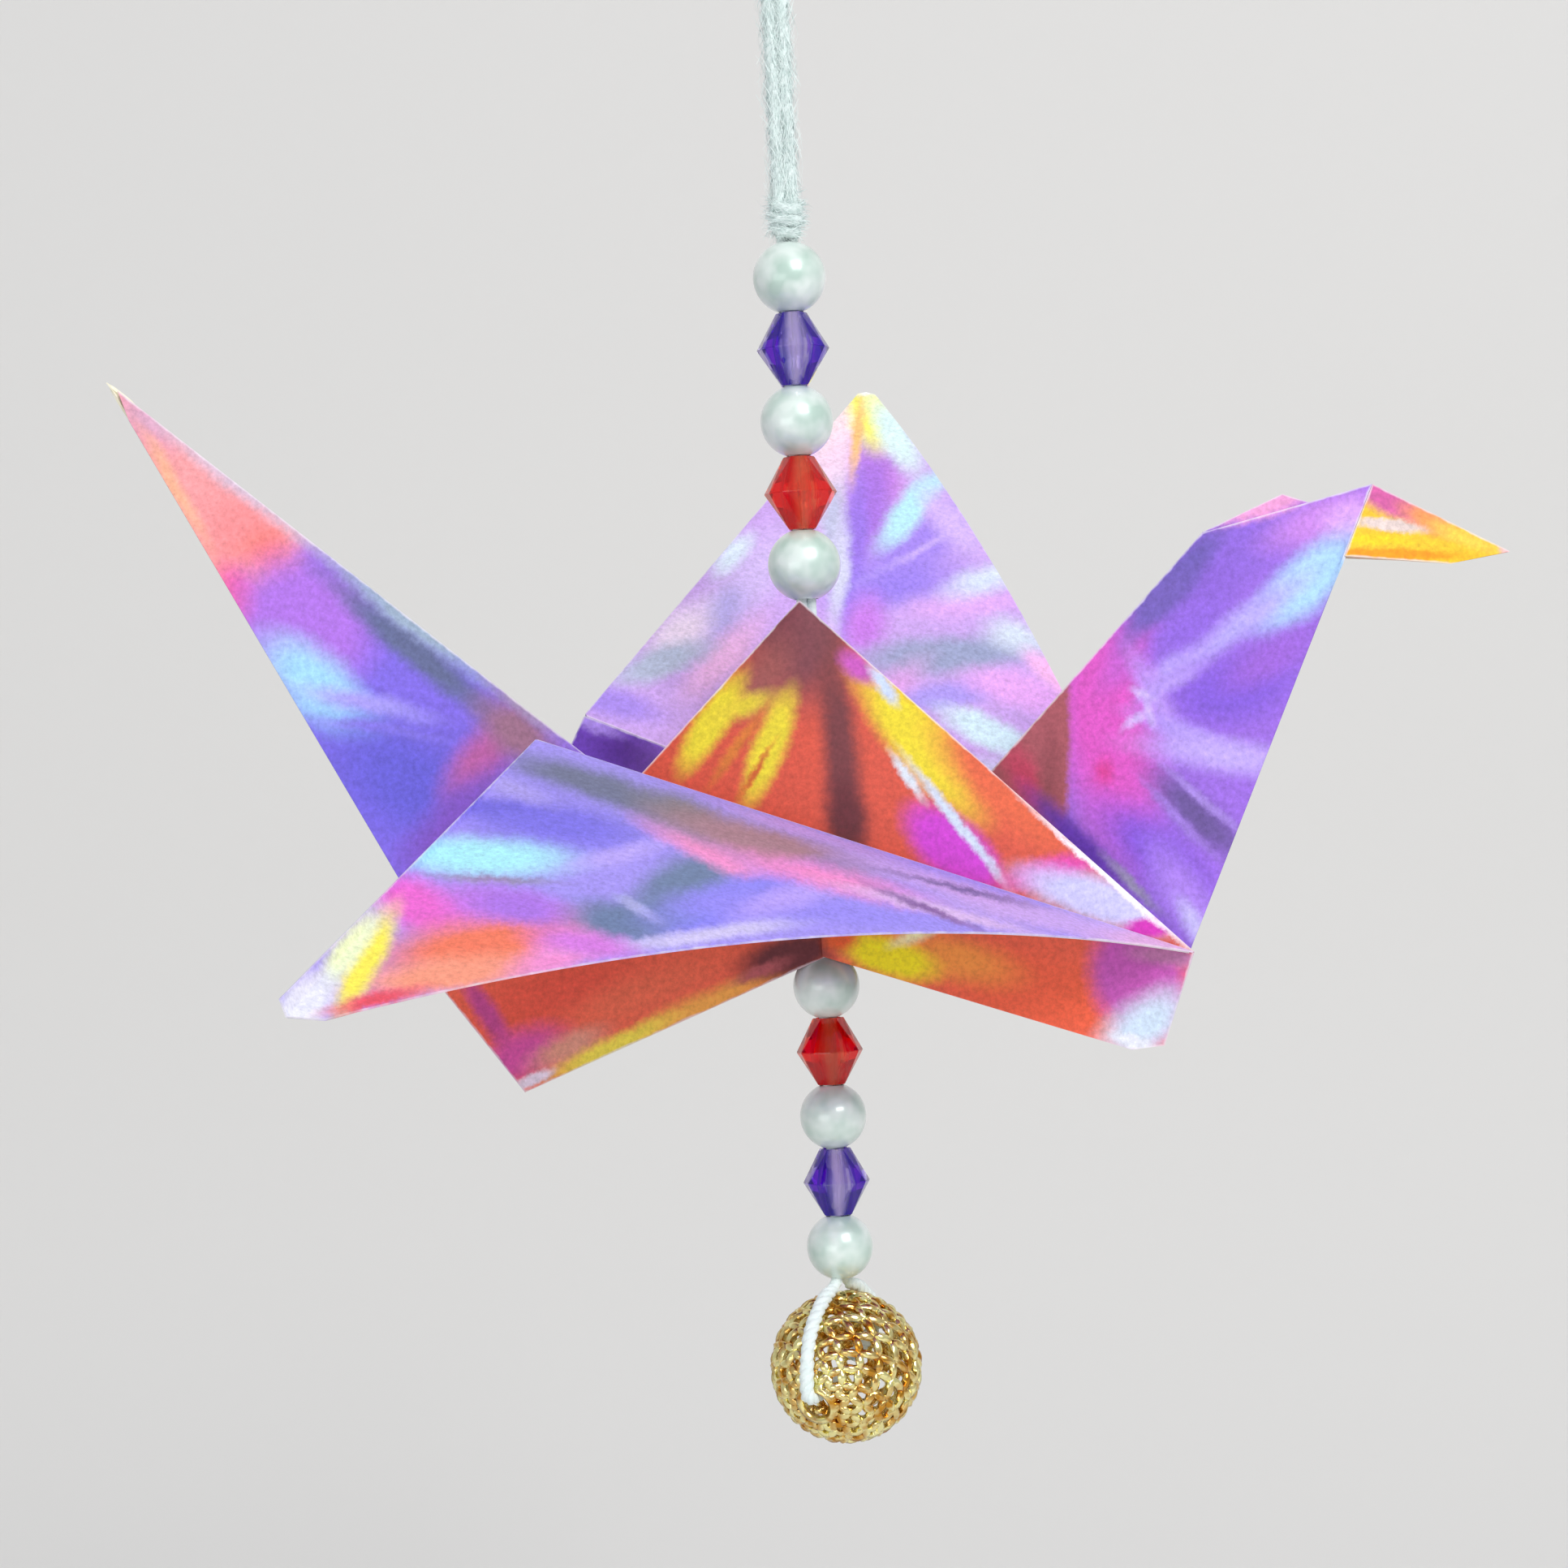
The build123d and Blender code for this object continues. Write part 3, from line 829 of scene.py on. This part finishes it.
ROUTE = [
    (-0.67, -1.21, -133.68),
    (-3.25, -5.86, -135.20),
    (-3.53, -6.36, -133.60),
    (-3.13, -5.65, -129.70),
    (-1.70, -3.07, -126.70),
    (-0.26, -0.46, -126.07),
    (-0.27, -0.45, -122.5),
    (-0.49, -0.06, -27.0),
    (-0.53, 0, -14),
    (-2.45, 0, -0.59),
    (0, 0, 0.83),
    (2.45, 0, -0.59),
    (0.53, 0, -14),
    (0.49, 0.06, -27.0),
    (0.27, 0.45, -122.5),
    (0.26, 0.46, -126.07),
    (1.53, 2.76, -126.63),
    (2.82, 5.09, -128.85),
    (3.14, 5.66, -130.46),
    (0.67, 1.21, -132.54),
]
YARN = 0.9
YARN_STEP = 0.35  # longest step along the yarn's line
PLIES = 3
PLY_RADIUS = 0.27
TWIST_RADIUS = 0.22
TWIST_PITCH = 2.4  # a ply goes once round the others in this length
FULLER = 0.3  # how much fuller it is where no bead holds it
TIGHT_TOP = -38.0  # the beads hold it between these heights
TIGHT_FOOT = -125.4
FUZZY_FOOT = -36.5  # loose fibres stand off it above this height


def yarn_look():
    """Soft white acrylic yarn."""
    n = Nodes("white_yarn")
    strand = n.noise(1400, 3, 0.6)
    colour = n.blend(strand, linear((212, 231, 227)), linear((246, 253, 252)))
    n.set(Base_Color=colour, Roughness=0.85, Sheen_Weight=0.5)
    n.bump(strand, 0.08)
    return n.material


white_yarn = yarn_look()


def route_curve(name, points, thickness):
    """A smooth open curve that the points pull on."""
    data = bpy.data.curves.new(name, "CURVE")
    data.dimensions = "3D"
    spline = data.splines.new("NURBS")
    spline.points.add(len(points) - 1)
    for place, point in zip(spline.points, points):
        place.co = (*(Vector(point) * MM), 1)
        place.radius = MM  # the bevel is multiplied by this, so it is given in millimetres
    spline.order_u = 3
    spline.use_endpoint_u = True
    data.bevel_depth = thickness / 2
    data.bevel_resolution = 3
    return link_object(name, data)


def curve_line(points, step):
    """Evenly stepped places on the curve of those points, in millimetres."""
    guide = route_curve("guide", points, 0)
    graph = bpy.context.evaluated_depsgraph_get()
    data = bpy.data.meshes.new_from_object(guide.evaluated_get(graph))
    raw = [vertex.co / MM for vertex in data.vertices]
    bpy.data.objects.remove(guide)
    out = []
    for before, after in zip(raw, raw[1:]):
        out += stepped(before, after, max(1, math.ceil((after - before).length / step)))
    return out + [raw[-1]]


def frames(line):
    """Two directions square to the line at each of its places, without sudden turns."""
    out = []
    side = Vector((0.3, 1, 0.2))
    for i in range(len(line)):
        ahead = (line[min(i + 1, len(line) - 1)] - line[max(i - 1, 0)]).normalized()
        side = (side - ahead * side.dot(ahead)).normalized()
        out.append((side.copy(), ahead.cross(side)))
    return out


def around(x_dir, y_dir, angle):
    """The direction at an angle in the plane of two others."""
    return x_dir * math.cos(angle) + y_dir * math.sin(angle)


def tube(points, faces, line, radius, sides, swell=None):
    """Add a tube along a line to lists of points and faces. swell multiplies its radius."""
    start = len(points)
    for i, (point, (x_dir, y_dir)) in enumerate(zip(line, frames(line))):
        here = radius * swell[i] if swell else radius
        for k in range(sides):
            points.append(point + around(x_dir, y_dir, 2 * math.pi * k / sides) * here)
    for i in range(len(line) - 1):
        for k in range(sides):
            a = start + i * sides + k
            b = start + i * sides + (k + 1) % sides
            faces.append((a, b, b + sides, a + sides))
    last = start + (len(line) - 1) * sides
    faces.append(tuple(range(start + sides - 1, start - 1, -1)))
    faces.append(tuple(range(last, last + sides)))


def fullness(height):
    """How full the yarn is at a height: it swells in the first 2 mm past the beads."""
    free = max(0.0, (height - TIGHT_TOP) / 2, (TIGHT_FOOT - height) / 1.5)
    return 1 + FULLER * min(1.0, free)


def tube_object(name, line, radius, sides, materials):
    """One tube as an object."""
    points, faces = [], []
    tube(points, faces, line, radius, sides)
    return mesh_object(name, points, faces, materials)


def plied(name, line):
    """Plies twisted round a line, a little unevenly."""
    points, faces = [], []
    directions = frames(line)
    swell = [fullness(point.z) for point in line]
    for ply in range(PLIES):
        path = []
        gone = 0.0
        for i, point in enumerate(line):
            if i:
                gone += (point - line[i - 1]).length
            angle = 2 * math.pi * (gone / TWIST_PITCH + ply / PLIES)
            reach = TWIST_RADIUS * (1 + 0.12 * math.sin(gone * 1.7 + ply)) * swell[i]
            path.append(point + around(*directions[i], angle) * reach)
        tube(points, faces, path, PLY_RADIUS, 6, swell)
    return mesh_object(name, points, faces, [white_yarn])


def fuzz(name, line, count, radius, reach, length):
    """Loose fibres that stand off a yarn, each a thin ribbon that rises, swings and tapers."""
    points, faces = [], []
    directions = frames(line)
    steps = 5
    for _ in range(count):
        i = rng.randrange(2, len(line) - 8)
        angle = rng.uniform(0, 2 * math.pi)
        out = around(*directions[i], angle)
        aside = around(*directions[i], angle + math.pi / 2)
        ahead = (line[i + 1] - line[i]).normalized() * rng.choice((-1, 1))
        long = length * rng.uniform(0.5, 1.5)
        rise = reach * rng.random() ** 2
        swing = rng.uniform(-0.5, 0.5)
        width = rng.uniform(0.02, 0.045)
        start = len(points)
        for k in range(steps + 1):
            t = k / steps
            height = radius * 0.8 + rise * math.sin(t * math.pi * 0.75)
            place = line[i] + ahead * long * t + out * height + aside * swing * long * t * t
            across = ahead.cross(out).normalized() * width * (1 - 0.6 * t)
            points.append(place - across)
            points.append(place + across)
            if k:
                a = start + 2 * (k - 1)
                faces.append((a, a + 1, a + 3, a + 2))
    return mesh_object(name, points, faces, [white_yarn], smooth=0)


yarn = own(route_curve("yarn_strand", ROUTE, YARN), "white_yarn", "yarn")
yarn.data.materials.append(white_yarn)
line = curve_line(ROUTE, YARN_STEP)
plies = own(plied("yarn_plies", line), "white_yarn")
above = [point for point in line if point.z > FUZZY_FOOT]
fluff = own(fuzz("yarn_fuzz", above, count=6500, radius=0.55, reach=0.75, length=2.0), "white_yarn")

# The knot

KNOT_TOP = -33.6
KNOT_TALL = 3.2
KNOT_TURNS = 3.2
KNOT_STEPS = 119
KNOT_RADIUS = 1.0  # to the middle of the widest wrap
KNOT_NARROWER = 0.55  # how much closer the first and the last wrap are
KNOT_TILT = 0.35
WRAP_RADIUS = 0.5


def knot_route():
    """Tilted turns round the yarn, widest halfway down."""
    out = []
    for i in range(KNOT_STEPS + 1):
        t = i / KNOT_STEPS
        angle = 2 * math.pi * KNOT_TURNS * t
        radius = KNOT_RADIUS - KNOT_NARROWER * (1 - math.sin(math.pi * t) ** 0.5)
        height = KNOT_TOP - KNOT_TALL * t + KNOT_TILT * math.sin(angle)
        out.append(Vector((radius * math.cos(angle), radius * math.sin(angle), height)))
    return out


knot_line = knot_route()
wraps = tube_object("yarn_knot_wraps", knot_line, WRAP_RADIUS, 8, [white_yarn])
knot = own(wraps, "white_yarn", "yarn_knot")
fibres = fuzz("yarn_knot_fuzz", knot_line, count=1500, radius=WRAP_RADIUS, reach=0.55, length=1.2)
knot_fluff = own(fibres, "white_yarn")

# The beads

PAINTED_BANDS = 4  # painted bright bands round a crystal
PAINTED_BAND_TURN = -0.35  # turns them a little off the front
BICONE_SIDES = 6
BLUNT = 1.3  # the radius of a bicone's blunt ends
BORE = 1.05  # the radius of its bore
SOFT_EDGE = 0.05


def pearl_look():
    """Imitation pearl."""
    n = Nodes("pearl")
    clouds = n.spread(n.noise(380, 2, 0.5), 0.36, 0.62)
    n.set(
        Base_Color=n.blend(clouds, linear((184, 210, 198)), linear((228, 241, 235))),
        Roughness=0.35,
        IOR=1.6,
        Metallic=0.08,
        Coat_Weight=1.0,
        Coat_Roughness=0.14,
        Sheen_Weight=0.3,
    )
    n.bump(n.noise(2500, 1, 0.5), 0.004)
    return n.material


def crystal_look(name, deep, bright):
    """Clear coloured acrylic with painted light: bright bands that stand in for the bore showing
    through, and painted glints of the facets.
    """
    n = Nodes(name)
    stretch = n.add("ShaderNodeMapping", {"Vector": n.place(), "Scale": (900, 900, 300)})
    cells = n.add("ShaderNodeTexVoronoi", {"Vector": stretch.outputs[0], "Scale": 1.0})
    painted_glint = n.add("ShaderNodeSeparateColor", {0: cells.outputs["Color"]}).outputs[0]
    apart = n.add("ShaderNodeSeparateXYZ", {0: n.place()}).outputs
    turned = n.math("MULTIPLY", n.math("ARCTAN2", apart[1], apart[0]), PAINTED_BANDS)
    painted_band = n.math("COSINE", n.math("ADD", turned, PAINTED_BAND_TURN))
    painted_light_share = n.math("ADD", n.math("MULTIPLY", painted_band, 0.7), n.math("MULTIPLY", painted_glint, 0.6), clamp=True)
    # the pale colour shows in the painted bands and glints
    colour = n.blend(painted_light_share, linear(deep), linear(bright))
    n.set(Base_Color=colour, Roughness=0.02, IOR=1.48, Transmission_Weight=0.75)
    return n.material


pearl = pearl_look()
# Each crystal's deep colour, then the pale colour of its painted bands and glints
crystals = {
    "red": crystal_look("red_crystal", (252, 0, 0), (255, 124, 84)),
    "purple": crystal_look("purple_crystal", (58, 0, 196), (232, 216, 255)),
}

for name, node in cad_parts.items():
    if "pearl" in name:
        node.data.materials.clear()
        node.data.materials.append(pearl)


def bicone(node_name, size, middle, colour):
    """A faceted double cone whose lower facets sit half a step round from the upper ones."""
    builder = bmesh.new()
    radius = size / 2
    for k in range(BICONE_SIDES):
        for z, shift in ((radius, 0), (-radius, 0.5)):
            angle = 2 * math.pi * (k + shift) / BICONE_SIDES
            builder.verts.new(Vector((BLUNT * math.cos(angle), BLUNT * math.sin(angle), z)))
    for k in range(2 * BICONE_SIDES):
        angle = math.pi * k / BICONE_SIDES
        builder.verts.new(Vector((radius * math.cos(angle), radius * math.sin(angle), 0)))
    bmesh.ops.convex_hull(builder, input=builder.verts)
    bmesh.ops.dissolve_limit(builder, angle_limit=0.02, verts=builder.verts, edges=builder.edges)
    bmesh.ops.transform(builder, matrix=Matrix.Scale(MM, 4), verts=builder.verts)
    data = bpy.data.meshes.new(f"{node_name}_crystal")
    builder.to_mesh(data)
    builder.free()
    made = link_object(f"{node_name}_crystal", data)
    drill_line = [Vector((0, 0, -radius - 1)), Vector((0, 0, radius + 1))]
    drill = tube_object("drill", drill_line, BORE, 20, [])
    cut = made.modifiers.new("bore", "BOOLEAN")
    cut.object = drill
    cut.operation = "DIFFERENCE"
    soften = made.modifiers.new("soften", "BEVEL")
    soften.width = SOFT_EDGE * MM
    apply_modifiers(made)
    bpy.data.objects.remove(drill)
    made.data.materials.clear()
    made.data.materials.append(crystals[colour])
    made.data.transform(Matrix.Translation(middle))
    return own(made, f"{colour}_crystal", node_name)


for place in ("upper", "lower"):
    for colour in ("red", "purple"):
        name = f"{place}_bicone_{colour}"
        low, high = [Vector(corner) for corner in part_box(name)]
        bicone(name, (high.z - low.z) / MM, (low + high) / 2, colour)

# The gold filigree ball

BALL = Vector((0, 0, -133.113))
BALL_RADIUS = 6.5
BALL_TURN = math.radians(-119.0)  # the heading of the front mouth
BALL_TILT = math.radians(22.3)  # how far it points below level
MOUTH = Vector((math.cos(BALL_TURN), math.sin(BALL_TURN), -math.tan(BALL_TILT))).normalized()
MOUTH_RADIUS = 1.5
WIRE = 0.37  # a wire's radius
WIRES = 26
WIRE_STEPS = 112
WAVES = 8  # in one wire
SWING = 0.9  # a wave's reach, as a share of half the way to the next wire
STRAY = 0.3  # and how far a slower wave leads the wire astray
STRAY_WAVES = 3.3
DRIFT = 0.16  # and the most that chance sets the whole wire aside
RIPPLE = 0.24  # how far a wire dips between its crests
LEAN = 0.25  # how far round a wire runs from mouth to mouth, in radians
RING_STEPS = 32


def gold_look():
    """Gilt wire in random patches from deep gold to a pale gold that is painted highlight."""
    n = Nodes("gold_wire")
    patch = n.noise(700, 2, 0.6)
    colour = n.blend(n.spread(patch, 0.36, 0.6), linear((206, 146, 52)), linear((255, 246, 176)))
    n.set(Base_Color=colour, Roughness=0.2, Metallic=1.0)
    n.bump(patch, 0.05)
    return n.material


def filigree():
    """Wavy wires from mouth to mouth that touch at their crests, and a ring round each mouth."""
    points, faces = [], []
    side = MOUTH.cross(Vector((0, 0, 1))).normalized()
    other = MOUTH.cross(side)
    reach = BALL_RADIUS - WIRE
    limit = math.acos(MOUTH_RADIUS / reach)
    for wire in range(WIRES):
        path = []
        drift = rng.uniform(-DRIFT, DRIFT)
        phase = rng.uniform(0, 2 * math.pi)
        for i in range(WIRE_STEPS + 1):
            t = i / WIRE_STEPS
            latitude = -limit + 2 * limit * t
            wave = math.sin(2 * math.pi * WAVES * t + math.pi * (wire % 2))
            stray = math.sin(2 * math.pi * STRAY_WAVES * t + phase)
            swing = math.pi / WIRES * (SWING * wave + STRAY * stray + drift)
            level = around(side, other, 2 * math.pi * wire / WIRES + swing + LEAN * t)
            height = reach - RIPPLE / 2 * (1 - math.cos(4 * math.pi * WAVES * t))
            path.append(BALL + around(level, MOUTH, latitude) * height)
        tube(points, faces, path, WIRE, 6)
    for end in (-1, 1):
        turns = [2 * math.pi * k / RING_STEPS for k in range(RING_STEPS + 1)]
        ring = [BALL + around(around(side, other, turn), MOUTH, limit * end) * reach for turn in turns]
        tube(points, faces, ring, WIRE * 1.04, 6)
    return mesh_object("ball_filigree", points, faces, [gold_look()])


own(filigree(), "gold_wire", "gold_ball")

# Floor, backdrop and light

FLOOR_Z = -260
WALL_Y = 420
BEND = 160  # the radius of the turn from floor to backdrop
BEND_STEPS = 12
STAGE_FRONT = -900
STAGE_TOP = 900
STAGE_SIDES = (-1200, 1200)
AIM = Vector((0, 0, -0.09))  # where the lamps look, in metres


def stage_look():
    """A pale matt surface that shows as near white."""
    n = Nodes("stage")
    n.set(Roughness=0.9, Base_Color=(0.79, 0.78, 0.765, 1))
    return n.material


def stage():
    """A floor that turns up into a backdrop."""
    profile = [(STAGE_FRONT, FLOOR_Z)]
    for i in range(BEND_STEPS + 1):
        angle = math.pi / 2 * i / BEND_STEPS
        profile.append((WALL_Y - BEND + BEND * math.sin(angle), FLOOR_Z + BEND - BEND * math.cos(angle)))
    profile.append((WALL_Y, STAGE_TOP))
    points = [(x, y, z) for y, z in profile for x in STAGE_SIDES]
    faces = [(2 * i, 2 * i + 1, 2 * i + 3, 2 * i + 2) for i in range(len(profile) - 1)]
    return mesh_object("floor", points, faces, [stage_look()])


stage()

world = bpy.data.worlds.new("world")
bpy.context.scene.world = world
world.use_nodes = True
background = world.node_tree.nodes["Background"]
background.inputs["Color"].default_value = (0.95, 0.97, 1.0, 1)
background.inputs["Strength"].default_value = 0.5


def lamp(name, place, size, power):
    """A soft square lamp that looks at the crane. Lengths are in metres, the power in watts."""
    data = bpy.data.lights.new(name, "AREA")
    data.shape = "SQUARE"
    data.size = size
    data.energy = power
    way = (AIM - Vector(place)).to_track_quat("-Z", "Y").to_matrix().to_4x4()
    link_object(name, data).matrix_world = Matrix.Translation(place) @ way


lamp("key", (0.35, -0.7, 0.45), 0.45, 6.0)
lamp("fill", (-0.5, -0.8, -0.28), 0.7, 2.7)

bpy.context.view_layer.update()
